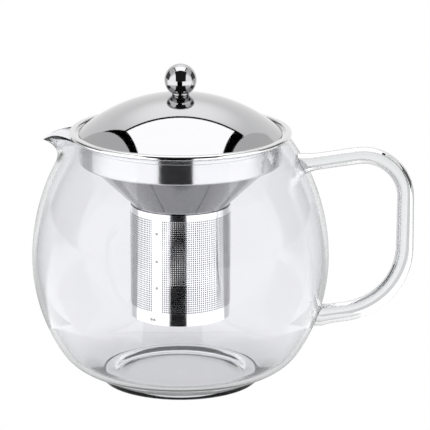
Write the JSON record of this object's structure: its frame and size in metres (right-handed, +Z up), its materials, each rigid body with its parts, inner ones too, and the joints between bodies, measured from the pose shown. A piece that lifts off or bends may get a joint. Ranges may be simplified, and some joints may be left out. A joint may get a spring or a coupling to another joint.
{
  "type": "glass teapot",
  "caption": "Round glass teapot with drawn pouring lip and glass loop handle, a lift-out steel funnel infuser with perforated tube, and a domed steel lid with ball knob.",
  "frame": {"origin": "centre of the foot ring, on the surface the pot stands on", "axes": "+Z up along the pot's axis, +X towards the handle, spout towards -X"},
  "size_m": [0.1905, 0.1484, 0.1614],
  "materials": {
    "clear_glass": "clear borosilicate glass, fire polished",
    "polished_steel": "mirror-polished stainless steel",
    "perforated_steel": "bright etched stainless sheet",
    "satin_steel": "satin stainless steel"
  },
  "bodies": {
    "pot": {"glass_body": "clear_glass", "handle": "clear_glass"},
    "infuser": {"infuser_collar": "polished_steel", "infuser_funnel": "polished_steel", "infuser_tube": "perforated_steel", "infuser_floor": "perforated_steel"},
    "lid": {"lid_dome": "polished_steel", "lid_ring": "satin_steel", "knob_spacer": "polished_steel", "knob_ball": "polished_steel", "knob_washer": "satin_steel", "knob_screw": "satin_steel"}
  },
  "joints": [
    {"name": "infuser_lift", "type": "slide", "parent": "pot", "child": "infuser", "axis": [0, 0, 1], "range_m": [0, 0.12]},
    {"name": "lid_lift", "type": "slide", "parent": "infuser", "child": "lid", "axis": [0, 0, 1], "range_m": [0, 0.05]}
  ]
}
